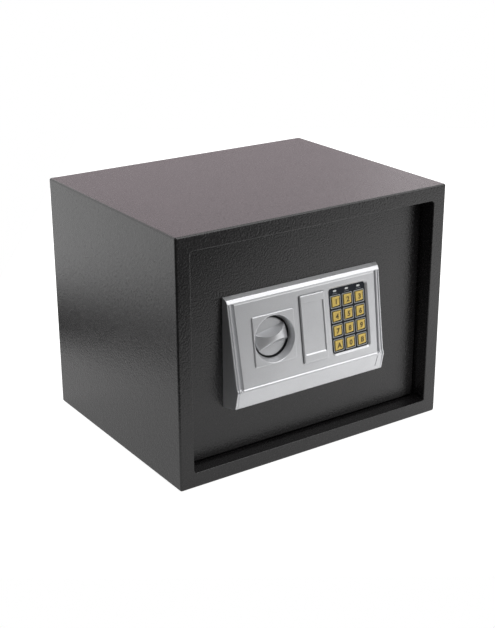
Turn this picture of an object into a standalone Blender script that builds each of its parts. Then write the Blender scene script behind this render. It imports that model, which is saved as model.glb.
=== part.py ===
"""Electronic in room safe: folded steel box, hinged door, wedge-shaped lock panel and bolt work.

The design is in millimetres and is written to the meshes in metres. X is to the right seen from the
front, -Y is the front and +Z is up. The origin is the middle of the underside of the box.
"""
import math

import bmesh
import bpy
from mathutils import Matrix, Vector

MM = 0.001
GAP = 0.3                      # between pieces that touch

# Box
WIDTH, DEPTH, HEIGHT = 380.0, 296.0, 300.0
FRONT, BACK = -DEPTH / 2, DEPTH / 2
SHEET = 1.5
BORDER = 18.5                  # front frame around the opening
OPENING_W, OPENING_H = WIDTH - 2 * BORDER, HEIGHT - 2 * BORDER
CORNER_R = 3.0
FRAME_DEPTH = 4.0              # skirt of the front frame
ANCHOR_R = 5.0
MID_Z = HEIGHT / 2

# Door
DOOR_GAP = 2.0
DOOR_T = 4.0
RECESS = 20.0                  # door face behind the frame's face
DOOR_FRONT = FRONT + RECESS
DOOR_BACK = DOOR_FRONT + DOOR_T
DOOR_W, DOOR_H = OPENING_W - 2 * DOOR_GAP, OPENING_H - 2 * DOOR_GAP
HINGE_X, HINGE_Y = -161.5, DOOR_BACK + 2.8
PIN_R = 2.5
RETURN_END = DOOR_BACK - 0.5   # the frame's returns stop here, and deeper on the bolt side
BOLT_RETURN_END = DOOR_BACK + 3.0

# Lock panel, as distances out from the door's face and heights, with drafted sides
PANEL_LEFT, PANEL_RIGHT = -119.1, 100.7
PANEL_PROFILE = [(GAP, 212.0), (5.2, 210.8), (7.9, 206.4), (24.1, 103.0), (20.3, 84.7), (GAP, 80.0)]
PANEL_DRAFT = 0.164            # how far each side leans in for each millimetre out
PANEL_WALL = 2.5
BREAK_OUT, BREAK_Z = PANEL_PROFILE[3]
TOP_OUT, TOP_Z = PANEL_PROFILE[2]
FACE_TILT = math.atan2(BREAK_OUT - TOP_OUT, TOP_Z - BREAK_Z)

# On the panel's slanted face: x as in the world, v up the face, level outwards
KNOB_X, KNOB_V = -59.0, 54.5
KNOB_PLATE = 60.0
KNOB_PLATE_RISE = 1.5
DISH_TOP_R, DISH_FLOOR_R, DISH_FLOOR = 28.0, 24.5, -9.6
KNOB_R = 22.0
KNOB_FACE, KNOB_BACK = -7.4, -9.2
GRIP_RISE, GRIP_HALF_LENGTH = 12.0, 18.5
GRIP_TOP_HALF, GRIP_BASE_HALF = 5.0, 9.0
COUPLING_LEVEL = -17.0
COVER_X, COVER_V, COVER_W, COVER_H = -2.7, 55.5, 36.0, 82.0
COVER_RISE = 2.0
WINDOW_X, WINDOW_V, WINDOW_W, WINDOW_H = 50.6, 54.3, 52.6, 78.0
WELL_BORDER, WELL_DEPTH = 2.7, 1.8
KEY_PITCH_X, KEY_PITCH_V = 17.5, 17.7
KEY_SIZE, KEY_HOLE = 12.0, 12.8
KEY_TOP, KEY_FOOT = -0.2, -5.4
KEY_ROW_V = 77.5               # the top row
KEY_NAMES = [["1", "2", "3"], ["4", "5", "6"], ["7", "8", "9"], ["a", "0", "b"]]
LAMP_V = 90.3
PCB_FRONT, PCB_BACK = -7.2, -8.8

# Bolt work behind the door
CHASSIS_Y = DOOR_BACK + GAP
BAR_Y = CHASSIS_Y + SHEET + 0.5
BAR_T = 2.3
BOLT_R = 9.0
BOLT_Y = BOLT_RETURN_END + 0.8 + BOLT_R
BOLT_SPREAD = 33.0
BOLT_TIP, BOLT_ROOT = 169.0, 64.8
THROW = 16.0
CRANK_R = THROW / math.sqrt(2)
LOCK_X, LOCK_Z = COVER_X, 156.7
LOCK_R = 9.5
SOLENOID_X, SOLENOID_Y = 22.0, -112.0
PLUNGER_FOOT = 178.6
PLUNGER_LIFT = 4.0
CAM_LENGTH = PLUNGER_FOOT - LOCK_Z + PLUNGER_LIFT - 0.6
CRANK_PIN = CRANK_R * math.sqrt(0.5)

# Pressed plate that carries the bolt work
CHASSIS_LO, CHASSIS_HI = (-96.0, 104.0), (124.0, 198.8)
STUD_X, STUD_HEIGHTS = 27.0, (146.5, 169.5)

# Screws through the door and its wire hole, as (x, z)
SCREW_PLACES = [(-109.0, 205.5), (91.0, 205.5), (-109.0, 91.0), (91.0, 91.0)]
COVER_SCREW_PLACES = [(10.0, 240.0), (10.0, 60.0)]
SCREW_HOLE_R = 2.4
WIRE_HOLE, WIRE_HOLE_R = (52.0, 203.5), 4.2

# Cover over the bolt work
COVER_LO = Vector((-103.6, CHASSIS_Y, 66.0))
COVER_HI = Vector((128.0, -86.0, 234.0))
COVER_WALL = 1.2
CELL_R, CELL_LENGTH, CELL_PITCH = 7.1, 50.5, 14.9
HOLDER_LO = Vector((-101.0, -121.5, 74.0))
HOLDER_HI = Vector((-38.0, -104.0, 136.0))
RESET_X, RESET_Z = -85.0, 208.0

FACE_ORIGIN = Vector((0.0, DOOR_FRONT - BREAK_OUT, BREAK_Z))
FACE = Matrix.Translation(FACE_ORIGIN) @ Matrix.Rotation(math.pi / 2 - FACE_TILT, 4, "X")
KNOB_COUPLING = FACE @ Vector((KNOB_X, KNOB_V, COUPLING_LEVEL))
KNOB_Z = KNOB_COUPLING.z
BOLT_HEIGHTS = (KNOB_Z + BOLT_SPREAD, KNOB_Z - BOLT_SPREAD)


# ---------------------------------------------------------------- materials and objects

def material(name, colour, roughness, metallic=0.0):
    made = bpy.data.materials.new(name)
    made.use_nodes = True
    shader = made.node_tree.nodes["Principled BSDF"]
    shader.inputs["Base Color"].default_value = (*colour, 1.0)
    shader.inputs["Roughness"].default_value = roughness
    shader.inputs["Metallic"].default_value = metallic
    made.diffuse_color = (*colour, 1.0)
    return made


def build_object(name, shape, surface=None, origin=(0, 0, 0), parent=None, smooth=True):
    """Writes a bmesh in millimetres to an object in metres whose own origin is `origin`."""
    origin = Vector(origin)
    bmesh.ops.recalc_face_normals(shape, faces=shape.faces)
    bmesh.ops.transform(shape, matrix=Matrix.Scale(MM, 4) @ Matrix.Translation(-origin), verts=shape.verts)
    mesh = bpy.data.meshes.new(name)
    shape.to_mesh(mesh)
    shape.free()
    made = bpy.data.objects.new(name, mesh)
    made.location = origin * MM
    bpy.context.collection.objects.link(made)
    if surface:
        mesh.materials.append(surface)
    if smooth:
        mesh.shade_smooth()
        mesh.set_sharp_from_angle(angle=math.radians(35))
    if parent:
        made.parent = parent
        made.matrix_parent_inverse = Matrix.Translation(parent.location).inverted()
    return made


def pivot(name, place):
    made = bpy.data.objects.new(name, None)
    made.location = Vector(place) * MM
    made.empty_display_size = 0.02
    bpy.context.collection.objects.link(made)
    return made


def combine(target, shape, operation):
    """Adds an exact Boolean with a helper solid that is never rendered."""
    number = len(target.modifiers) + 1
    helper = build_object(f"{target.name}_tool_{number}", shape, smooth=False)
    helper.display_type = "WIRE"
    helper.hide_render = True
    step = target.modifiers.new(f"step_{number}", "BOOLEAN")
    step.operation = operation
    step.object = helper
    step.solver = "EXACT"


def cut(target, *shapes):
    for shape in shapes:
        combine(target, shape, "DIFFERENCE")


def add(target, *shapes):
    for shape in shapes:
        combine(target, shape, "UNION")


# ---------------------------------------------------------------- shapes, in millimetres

def loft(rings):
    """Skins a stack of rings that have the same number of points and caps both ends."""
    shape = bmesh.new()
    rows = [[shape.verts.new(point) for point in ring] for ring in rings]
    count = len(rows[0])
    for lower, upper in zip(rows, rows[1:]):
        for i in range(count):
            j = (i + 1) % count
            shape.faces.new((lower[i], lower[j], upper[j], upper[i]))
    shape.faces.new(rows[0][::-1])
    shape.faces.new(rows[-1])
    return shape


def box(low, high):
    (x0, y0, z0), (x1, y1, z1) = low, high
    ring = [(x0, y0), (x1, y0), (x1, y1), (x0, y1)]
    return loft([[(x, y, z) for x, y in ring] for z in (z0, z1)])


def rounded_outline(width, height, radius, steps=3):
    """Corner arcs of a rectangle centred on zero, anticlockwise."""
    points = []
    for corner, (sx, sy) in enumerate(((1, 1), (-1, 1), (-1, -1), (1, -1))):
        cx, cy = sx * (width / 2 - radius), sy * (height / 2 - radius)
        for step in range(steps + 1):
            angle = math.pi / 2 * (corner + step / steps)
            points.append((cx + radius * math.cos(angle), cy + radius * math.sin(angle)))
    return points


def circle(radius, steps=20):
    return [(radius * math.cos(2 * math.pi * i / steps), radius * math.sin(2 * math.pi * i / steps))
            for i in range(steps)]


def upright(outlines, centre=(0.0, 0.0)):
    """Lofts outlines given as (points, y): each outline lies in a plane that faces the front."""
    cx, cz = centre
    return loft([[(cx + x, y, cz + z) for x, z in points] for points, y in outlines])


def plate(outline, y0, y1, centre=(0.0, 0.0)):
    return upright([(outline, y0), (outline, y1)], centre)


def disc(radius, y0, y1, centre, steps=20):
    return plate(circle(radius, steps), y0, y1, centre)


def rod_x(radius, x0, x1, y, z, chamfer=0.0, steps=20):
    ends = [(x0, radius)]
    if chamfer:
        ends += [(x1 - chamfer, radius), (x1, radius - chamfer)]
    else:
        ends += [(x1, radius)]
    return loft([[(x, y + a, z + b) for a, b in circle(r, steps)] for x, r in ends])


def rod_z(radius, z0, z1, x, y, steps=16):
    return loft([[(x + a, y + b, z) for a, b in circle(radius, steps)] for z in (z0, z1)])


def on_face(shape):
    """Moves a shape made in (x, v, level) to the slanted face."""
    bmesh.ops.transform(shape, matrix=FACE, verts=shape.verts)
    return shape


def face_loft(outlines, centre):
    """Lofts outlines given as (points, level) on the slanted face."""
    cx, cv = centre
    return on_face(loft([[(cx + x, cv + v, level) for x, v in points] for points, level in outlines]))


def face_plate(outline, low, high, centre):
    return face_loft([(outline, low), (outline, high)], centre)


def tube(points, radius, steps_per_span=4, sides=6):
    """A tube of one smooth curve through the points."""
    path = [Vector(point) for point in points]
    path = [2 * path[0] - path[1]] + path + [2 * path[-1] - path[-2]]
    line = []
    for a, b, c, d in zip(path, path[1:], path[2:], path[3:]):
        for step in range(steps_per_span):
            t = step / steps_per_span
            line.append(0.5 * (2 * b + (c - a) * t + (2 * a - 5 * b + 4 * c - d) * t * t
                               + (3 * b - a - 3 * c + d) * t ** 3))
    line.append(path[-2])
    side = (line[1] - line[0]).orthogonal().normalized()
    rings = []
    for i, place in enumerate(line):
        along = (line[min(i + 1, len(line) - 1)] - line[max(i - 1, 0)]).normalized()
        side = (side - along * side.dot(along)).normalized()
        across = along.cross(side)
        rings.append([place + radius * (a * side + b * across) for a, b in circle(1.0, sides)])
    return loft(rings)


def offset_convex(points, distances):
    """Moves each edge of a clockwise convex outline inwards by its own distance."""
    count = len(points)
    lines = []
    for i in range(count):
        start, end = Vector(points[i]), Vector(points[(i + 1) % count])
        along = (end - start).normalized()
        inward = Vector((along.y, -along.x))
        lines.append((start + inward * distances[i], along))
    moved = []
    for (p, a), (q, b) in zip([lines[-1]] + lines[:-1], lines):
        reach = (q - p).cross(b) / a.cross(b)
        moved.append(p + a * reach)
    return moved


# ---------------------------------------------------------------- the box

def box_pieces(steel, carpet):
    shell_front = FRONT + FRAME_DEPTH + GAP
    outer = rounded_outline(WIDTH, HEIGHT, CORNER_R)
    inner = rounded_outline(WIDTH - 2 * SHEET, HEIGHT - 2 * SHEET, CORNER_R - SHEET)
    shell = build_object("body_shell", plate(outer, shell_front, BACK, (0, MID_Z)), steel)
    cut(shell, plate(inner, shell_front - 5, BACK + 5, (0, MID_Z)))
    for x in (-90, 90):
        cut(shell, rod_z(ANCHOR_R, -5, 5, x, 40))

    opening = rounded_outline(OPENING_W, OPENING_H, CORNER_R)
    sleeve = rounded_outline(OPENING_W + 2 * SHEET, OPENING_H + 2 * SHEET, CORNER_R + SHEET)
    lip = []
    for step in range(4):
        angle = math.pi / 2 * step / 3
        inset = 2.5 * (1 - math.sin(angle))
        lip.append((rounded_outline(WIDTH - 2 * inset, HEIGHT - 2 * inset, CORNER_R),
                    FRONT + 2.5 * (1 - math.cos(angle))))
    frame = build_object("front_frame", upright(lip + [(outer, FRONT + FRAME_DEPTH)], (0, MID_Z)), steel)
    cut(frame, plate(inner, FRONT + SHEET, shell_front + 5, (0, MID_Z)))
    add(frame, plate(sleeve, FRONT + SHEET / 2, RETURN_END, (0, MID_Z)))
    side = OPENING_W / 2
    add(frame, box((side - 0.5, RETURN_END - 1, 2 * BORDER),
                   (side + SHEET, BOLT_RETURN_END, HEIGHT - 2 * BORDER)))
    cut(frame, plate(opening, FRONT - 5, BOLT_RETURN_END + 5, (0, MID_Z)))

    inset = SHEET + GAP
    back = build_object("back_panel", plate(rounded_outline(WIDTH - 2 * inset, HEIGHT - 2 * inset, 1.2),
                                            BACK - SHEET, BACK, (0, MID_Z)), steel)
    for x in (-70, 70):
        cut(back, disc(ANCHOR_R, BACK - 5, BACK + 5, (x, MID_Z), 24))

    floor = SHEET + GAP
    build_object("floor_mat", box((-184, -116, floor), (184, 140, floor + 2.5)), carpet)

    for name, up in (("upper", 1), ("lower", -1)):
        hinge_bracket(name, up, steel)
        door_stop(name, up, steel)


def mirrored_box(up, x, y, z):
    """A box near the top of the opening, or the same one mirrored to the bottom."""
    z0, z1 = z if up > 0 else (HEIGHT - z[1], HEIGHT - z[0])
    return box((x[0], y[0], z0), (x[1], y[1], z1))


def hinge_bracket(name, up, steel):
    ledge = MID_Z + OPENING_H / 2 + SHEET + GAP
    wall = -WIDTH / 2 + SHEET + GAP
    bracket = build_object(f"{name}_hinge_bracket",
                           mirrored_box(up, (wall, -152), (-140, -104), (ledge, ledge + 2.5)), steel)
    add(bracket, mirrored_box(up, (wall, wall + 2.5), (-140, -104), (ledge - 22, ledge + 1)))
    cut(bracket, rod_z(PIN_R + 0.4, *((270, 295) if up > 0 else (5, 30)), HINGE_X, HINGE_Y))


def door_stop(name, up, steel):
    ledge = MID_Z + OPENING_H / 2 + SHEET + GAP
    face = DOOR_BACK + 0.4
    stop = build_object(f"{name}_door_stop",
                        mirrored_box(up, (100, 140), (-143, face + SHEET), (ledge, ledge + SHEET)), steel)
    add(stop, mirrored_box(up, (100, 140), (face, face + SHEET), (272, ledge + 1)))


# ---------------------------------------------------------------- the door and its hinges

def door_pieces(steel, bright, door):
    outline = rounded_outline(DOOR_W, DOOR_H, 2.5)
    rim = rounded_outline(DOOR_W - 2.6, DOOR_H - 2.6, 1.2)
    leaf = build_object("door_plate", upright([(rim, DOOR_FRONT), (outline, DOOR_FRONT + 1.3),
                                               (outline, DOOR_BACK)], (0, MID_Z)), steel, parent=door)
    through = (DOOR_FRONT - 5, DOOR_BACK + 5)
    cut(leaf, disc(7.0, *through, (KNOB_X, KNOB_Z)), disc(LOCK_R + 0.5, *through, (LOCK_X, LOCK_Z)),
        disc(WIRE_HOLE_R, *through, WIRE_HOLE, 16))
    for place in SCREW_PLACES:
        cut(leaf, disc(SCREW_HOLE_R, *through, place, 12))
    for place in COVER_SCREW_PLACES:
        cut(leaf, disc(SCREW_HOLE_R, DOOR_BACK - 3, DOOR_BACK + 5, place, 12))

    hinges = (("upper", (254, 274), (252, 287.4)), ("lower", (26, 46), (12.6, 48)))
    for name, (z0, z1), (pin0, pin1) in hinges:
        build_object(f"{name}_hinge_pin", rod_z(PIN_R, pin0, pin1, HINGE_X, HINGE_Y), bright,
                     (HINGE_X, HINGE_Y, pin0), door)
        reach = PIN_R + 0.25
        saddle = build_object(f"{name}_hinge_saddle",
                              box((HINGE_X - 6, CHASSIS_Y, z0), (HINGE_X + 6, HINGE_Y + reach + 1.6, z1)),
                              steel, (HINGE_X, HINGE_Y, z0), door)
        cut(saddle, rod_z(reach, z0 - 5, z1 + 5, HINGE_X, HINGE_Y),
            box((HINGE_X - reach, CHASSIS_Y - 5, z0 - 5), (HINGE_X + reach, HINGE_Y, z1 + 5)))


# ---------------------------------------------------------------- the lock panel

def panel_solid(profile, inset):
    rings = []
    for side, sign in ((PANEL_LEFT, 1), (PANEL_RIGHT, -1)):
        rings.append([(side + sign * (PANEL_DRAFT * out + inset), DOOR_FRONT - out, z)
                      for out, z in profile])
    return loft(rings)


def panel_pieces(silver, door):
    panel = build_object("fascia_housing", panel_solid(PANEL_PROFILE, 0.0), silver, parent=door)
    hollow = offset_convex(PANEL_PROFILE, [PANEL_WALL] * 5 + [-5.0])
    cut(panel, panel_solid(hollow, PANEL_WALL))

    for x, z in SCREW_PLACES:
        depth = 20.4 if z < MID_Z else 6.6
        add(panel, disc(4.2, DOOR_FRONT - depth, DOOR_FRONT - GAP, (x, z), 16))
        cut(panel, disc(SCREW_HOLE_R, DOOR_FRONT - 4.2, DOOR_FRONT + 5, (x, z), 12))

    centre = (KNOB_X, KNOB_V)
    side = KNOB_PLATE
    add(panel, face_plate(rounded_outline(side, side, 3.0), -PANEL_WALL / 2, KNOB_PLATE_RISE, centre))
    back_wall = 1.4
    add(panel, face_loft([(circle(DISH_FLOOR_R + back_wall, 32), DISH_FLOOR - back_wall),
                          (circle(DISH_TOP_R + back_wall, 32), -PANEL_WALL / 2)], centre))
    slope = (DISH_TOP_R - DISH_FLOOR_R) / (KNOB_PLATE_RISE - DISH_FLOOR)
    cut(panel, face_loft([(circle(DISH_FLOOR_R, 32), DISH_FLOOR),
                          (circle(DISH_TOP_R + 2 * slope, 32), KNOB_PLATE_RISE + 2)], centre))
    cut(panel, face_plate(circle(6.8), DISH_FLOOR - 8, DISH_FLOOR + 2, centre))

    centre = (COVER_X, COVER_V)
    pocket = rounded_outline(COVER_W + 1.4, COVER_H + 1.4, 2.2)
    seat = rounded_outline(COVER_W + 4.5, COVER_H + 4.5, 3.0)
    add(panel, face_plate(seat, -6.0, -PANEL_WALL / 2, centre))
    cut(panel, face_plate(pocket, -4.4, 5.0, centre))
    cut(panel, disc(LOCK_R + 0.8, DOOR_FRONT - 40, DOOR_FRONT - 1, (LOCK_X, LOCK_Z)))

    centre = (WINDOW_X, WINDOW_V)
    window = rounded_outline(WINDOW_W, WINDOW_H, 3.5)
    reach = WELL_BORDER * (WELL_DEPTH + 2) / WELL_DEPTH
    rim = rounded_outline(WINDOW_W + 2 * reach, WINDOW_H + 2 * reach, 3.5 + reach)
    cut(panel, face_loft([(window, -WELL_DEPTH), (rim, 2.0)], centre))
    cut(panel, face_plate(window, -8.0, 2.0, centre))


def key_centre(row, column):
    return (WINDOW_X - 0.3 + (column - 1) * KEY_PITCH_X, KEY_ROW_V - row * KEY_PITCH_V)


def keypad_pieces(black_plastic, gold, lamp, board, door):
    centre = (WINDOW_X, WINDOW_V)
    window = rounded_outline(WINDOW_W - 0.6, WINDOW_H - 0.6, 3.2)
    mask = build_object("keypad_plate", face_plate(window, -4.0, -WELL_DEPTH, centre), black_plastic,
                        parent=door)
    flange = rounded_outline(WINDOW_W + 4, WINDOW_H + 4, 4.0)
    add(mask, face_plate(flange, -4.3, -PANEL_WALL - GAP, centre))
    for row, names in enumerate(KEY_NAMES):
        for column, name in enumerate(names):
            place = key_centre(row, column)
            hole = rounded_outline(KEY_HOLE, KEY_HOLE, 1.2, 1)
            cut(mask, face_plate(hole, -8.0, 2.0, place))
            key(name, place, gold, door)
    lamp_places = [(key_centre(0, column)[0], LAMP_V) for column in range(3)]
    for place in lamp_places:
        cut(mask, face_plate(rounded_outline(5.4, 2.8, 1.3), -8.0, 2.0, place))

    bar = rounded_outline(2 * KEY_PITCH_X + 5.0, 2.0, 0.9)
    lens = build_object("indicator_lens", face_plate(bar, -5.8, -4.6, lamp_places[1]), lamp, parent=door)
    for place in lamp_places:
        add(lens, face_plate(rounded_outline(4.8, 2.2, 1.0), -5.2, -WELL_DEPTH + 0.2, place))

    build_object("keypad_pcb", face_plate(rounded_outline(54.0, 74.0, 1.0), PCB_BACK, PCB_FRONT,
                                          (WINDOW_X, 54.0)), board, parent=door)


def key(name, place, gold, door):
    cap = rounded_outline(KEY_SIZE, KEY_SIZE, 1.0, 2)
    crown = rounded_outline(KEY_SIZE - 1.0, KEY_SIZE - 1.0, 0.8, 2)
    origin = FACE @ Vector((place[0], place[1], KEY_TOP))
    stem = face_loft([(cap, KEY_FOOT), (cap, KEY_TOP - 0.5), (crown, KEY_TOP)], place)
    made = build_object(f"key_{name}", stem, gold, origin, door)
    lip = rounded_outline(14.2, 14.2, 1.2, 1)
    add(made, face_plate(lip, KEY_FOOT, KEY_FOOT + 0.8, place),
        face_plate(circle(2.5, 8), KEY_FOOT - 0.7, KEY_FOOT + 0.4, place))


# ---------------------------------------------------------------- knob, cover and override lock

def knob_piece(silver, door):
    """A disc with an arched grip, a hub through the dish and a loose tang for the spindle."""
    centre = (KNOB_X, KNOB_V)
    rim = circle(KNOB_R, 32)
    made = build_object("knob", face_loft([(rim, KNOB_BACK), (rim, KNOB_FACE - 0.6),
                                           (circle(KNOB_R - 0.6, 32), KNOB_FACE)], centre),
                        silver, KNOB_COUPLING, door)
    arch_r = (GRIP_HALF_LENGTH ** 2 + GRIP_RISE ** 2) / (2 * GRIP_RISE)
    sections = []
    count = 12
    for i in range(count + 1):
        x = -GRIP_HALF_LENGTH + 2 * GRIP_HALF_LENGTH * i / count
        rise = math.sqrt(max(arch_r ** 2 - x ** 2, 0.0)) - (arch_r - GRIP_RISE)
        share = rise / GRIP_RISE
        foot = GRIP_TOP_HALF + (GRIP_BASE_HALF - GRIP_TOP_HALF) * share
        top = KNOB_FACE + max(rise, 0.0)
        low = KNOB_FACE - 0.5
        sections.append([(KNOB_X + x, KNOB_V + v, level) for v, level in
                         ((-foot, low), (foot, low), (foot, KNOB_FACE), (GRIP_TOP_HALF, top + 0.1),
                          (-GRIP_TOP_HALF, top + 0.1), (-foot, KNOB_FACE))])
    add(made, on_face(loft(sections)))
    add(made, face_plate(circle(5.8, 20), -14.0, KNOB_BACK + 0.5, centre))
    add(made, face_plate(rounded_outline(7.0, 2.0, 0.4, 1), COUPLING_LEVEL - 2.0, -13.0, centre))


def cover_piece(silver, door):
    centre = (COVER_X, COVER_V)
    outline = rounded_outline(COVER_W, COVER_H, 1.6)
    crown = rounded_outline(COVER_W - 1.0, COVER_H - 1.0, 1.2)
    origin = FACE @ Vector((COVER_X, COVER_V, 0.0))
    made = build_object("override_cover", face_loft([(outline, -1.2), (outline, COVER_RISE - 0.5),
                                                     (crown, COVER_RISE)], centre), silver, origin, door)
    sunk = rounded_outline(COVER_W - 5.6, COVER_H - 20.0, 0.8, 2)
    cut(made, face_plate(sunk, COVER_RISE - 1.2, COVER_RISE + 5, centre))
    for v in (-36.0, 36.0):
        add(made, face_plate(rounded_outline(14.0, 1.6, 0.5, 1), -3.9, -0.8, (COVER_X, COVER_V + v)))


def lock_pieces(chrome, brass, door):
    front, rear = -140.4, -118.6
    centre = (LOCK_X, LOCK_Z)
    barrel = build_object("override_lock_barrel", disc(LOCK_R, front, rear, centre), chrome, parent=door)
    cut(barrel, disc(6.7, front - 5, rear + 5, centre))
    plug = build_object("override_lock_plug", disc(6.4, front + GAP, rear + 0.4, centre), brass,
                        (LOCK_X, rear, LOCK_Z), door)
    cut(plug, box((LOCK_X - 1.0, front - 5, LOCK_Z - 4.2), (LOCK_X + 1.0, front + 12, LOCK_Z + 4.2)))
    arm = [(-CAM_LENGTH, -2.0), (-CAM_LENGTH, 2.0), (0.0, 5.0), (4.5, 4.0), (4.5, -4.0), (0.0, -5.0)]
    add(plug, disc(3.0, rear, rear + 1.4, centre, 12), plate(arm, rear + 1.0, rear + 3.0, centre))


# ---------------------------------------------------------------- the bolt work

def spindle_piece(bright, door):
    centre = (KNOB_X, KNOB_Z)
    cup0, cup1 = -128.9, CHASSIS_Y + SHEET - 0.2
    crank = BAR_Y + BAR_T + 0.5
    made = build_object("drive_spindle", disc(6.4, cup0, cup1, centre), bright, KNOB_COUPLING, door)
    cut(made, box((KNOB_X - 4.6, cup0 - 5, KNOB_Z - 1.9), (KNOB_X + 4.6, cup1 - 1.6, KNOB_Z + 1.9)))
    add(made, disc(4.0, cup1 - 1, crank + 1, centre, 14), disc(14.5, crank, crank + 2.5, centre, 24),
        disc(PIN_R, BAR_Y + 0.1, crank + 1, (KNOB_X - CRANK_PIN, KNOB_Z + CRANK_PIN), 16))


def bolt_pieces(steel, bright, door):
    arm_low, arm_high = KNOB_Z - 13.2, PLUNGER_FOOT - GAP
    y0, y1 = BAR_Y, BAR_Y + BAR_T
    bar = build_object("bolt_bar", box((-92, y0, arm_low), (42, y1, arm_high)), steel, parent=door)
    half = BOLT_SPREAD + 10.3
    add(bar, box((40, y0, KNOB_Z - half), (BOLT_ROOT - GAP, y1, KNOB_Z + half)))
    for z in BOLT_HEIGHTS:
        add(bar, box((BOLT_ROOT - GAP - 2.5, y0 + 1, z - 9), (BOLT_ROOT - GAP, BOLT_Y + BOLT_R, z + 9)))
    add(bar, box((10, y0 + 1, arm_high - 2.3), (26, SOLENOID_Y + 4, arm_high)))
    through = (y0 - 5, y1 + 2)
    shaft, slot, stud, lock = 4.6, 3.3, PIN_R + 0.4, LOCK_R + 0.7
    cut(bar, box((KNOB_X - THROW - shaft, through[0], KNOB_Z - shaft),
                 (KNOB_X + shaft, through[1], KNOB_Z + shaft)),
        box((KNOB_X - CRANK_PIN - slot, through[0], KNOB_Z),
            (KNOB_X - CRANK_PIN + slot, through[1], KNOB_Z + CRANK_R + slot)),
        box((LOCK_X - THROW - lock, through[0], LOCK_Z - lock),
            (LOCK_X + lock, through[1], LOCK_Z + lock)))
    for z in STUD_HEIGHTS:
        cut(bar, box((STUD_X - THROW - stud, through[0], z - stud), (STUD_X + stud, through[1], z + stud)))
    for name, z in zip(("upper_bolt", "lower_bolt"), BOLT_HEIGHTS):
        build_object(name, rod_x(BOLT_R, BOLT_ROOT, BOLT_TIP, BOLT_Y, z, 1.5), bright,
                     (BOLT_ROOT, BOLT_Y, z), door)


def chassis_piece(zinc, door):
    (x0, z0), (x1, z1) = CHASSIS_LO, CHASSIS_HI
    y0, y1 = CHASSIS_Y, CHASSIS_Y + SHEET
    made = build_object("lock_chassis", box((x0, y0, z0), (x1, y1, z1)), zinc, parent=door)
    add(made, box((x1 - SHEET, y0 + 0.5, z0), (x1, -95, z1)))
    for z in BOLT_HEIGHTS:
        cut(made, rod_x(BOLT_R + 0.4, x1 - 10, x1 + 10, BOLT_Y, z))
    through = (y0 - 5, y1 + 5)
    cut(made, disc(7.0, *through, (KNOB_X, KNOB_Z)), disc(LOCK_R + 0.5, *through, (LOCK_X, LOCK_Z)),
        disc(WIRE_HOLE_R + 1.2, *through, WIRE_HOLE, 16))
    for z in STUD_HEIGHTS:
        add(made, disc(PIN_R, y0 + 0.5, BAR_Y + BAR_T + 0.6, (STUD_X, z), 16))


def solenoid_pieces(zinc, bright, winding, door):
    x, y = SOLENOID_X, SOLENOID_Y
    low, high = 190.0, 222.0
    frame = build_object("solenoid_frame", box((x - 12, BAR_Y, low), (x + 12, BAR_Y + SHEET, high)), zinc,
                         parent=door)
    add(frame, box((x - 12, BAR_Y + 0.5, low), (x + 12, y + 11, low + SHEET)),
        box((x - 12, BAR_Y + 0.5, high - SHEET), (x + 12, y + 11, high)))
    cut(frame, rod_z(3.9, low - 5, low + 5, x, y))
    coil = build_object("solenoid_coil", rod_z(8.0, low + SHEET + GAP, high - SHEET - GAP, x, y), winding,
                        parent=door)
    cut(coil, rod_z(3.9, low - 5, high + 5, x, y))

    foot = PLUNGER_FOOT
    plunger = build_object("solenoid_plunger", rod_z(3.4, foot, 215.0, x, y), bright, (x, y, foot), door)
    add(plunger, rod_z(6.0, foot, foot + 2.2, x, y), box((-8, y - 4.5, foot + 0.1), (x, y + 2, foot + 2.1)))

    turns, steps = 5, 8
    spring_low, spring_high = foot + 2.2 + GAP + 0.4, low - GAP - 0.4
    coil_path = []
    for i in range(turns * steps + 1):
        angle = 2 * math.pi * i / steps
        z = spring_low + (spring_high - spring_low) * i / (turns * steps)
        coil_path.append((x + 4.7 * math.cos(angle), y + 4.7 * math.sin(angle), z))
    build_object("solenoid_spring", tube(coil_path, 0.4, 1, 5), bright, (x, y, spring_high), door)


# ---------------------------------------------------------------- cover, batteries and electronics

def cover_pieces(black_steel, black_plastic, door):
    wall = Vector((COVER_WALL, COVER_WALL, COVER_WALL))
    cover = build_object("rear_cover", box(COVER_LO, COVER_HI), black_steel, parent=door)
    inner_low = COVER_LO + wall
    inner_low.y -= 10
    cut(cover, box(inner_low, COVER_HI - wall))
    for z in BOLT_HEIGHTS:
        cut(cover, rod_x(BOLT_R + 0.6, COVER_HI.x - 10, COVER_HI.x + 10, BOLT_Y, z))
    cut(cover, box((-99, COVER_HI.y - 5, 77), (-40, COVER_HI.y + 5, 133)),
        disc(3.6, COVER_HI.y - 5, COVER_HI.y + 5, (RESET_X, RESET_Z), 20))
    for x, z in COVER_SCREW_PLACES:
        inward = 8.0 if z < MID_Z else -8.0
        add(cover, box((x - 8, CHASSIS_Y, min(z - 6, z + inward)),
                       (x + 8, CHASSIS_Y + COVER_WALL, max(z + 6, z + inward))))
        cut(cover, disc(SCREW_HOLE_R, CHASSIS_Y - 5, CHASSIS_Y + 5, (x, z), 12))

    lid_y = COVER_HI.y + GAP
    lid = build_object("battery_cover", box((-103, lid_y, 72), (-36, lid_y + 2.2, 138)), black_plastic,
                       (-69.5, lid_y, 105), door)
    for i in range(4):
        z = 122 + 3.2 * i
        add(lid, box((-84, lid_y + 1, z), (-55, lid_y + 3.2, z + 1.4)))


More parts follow.
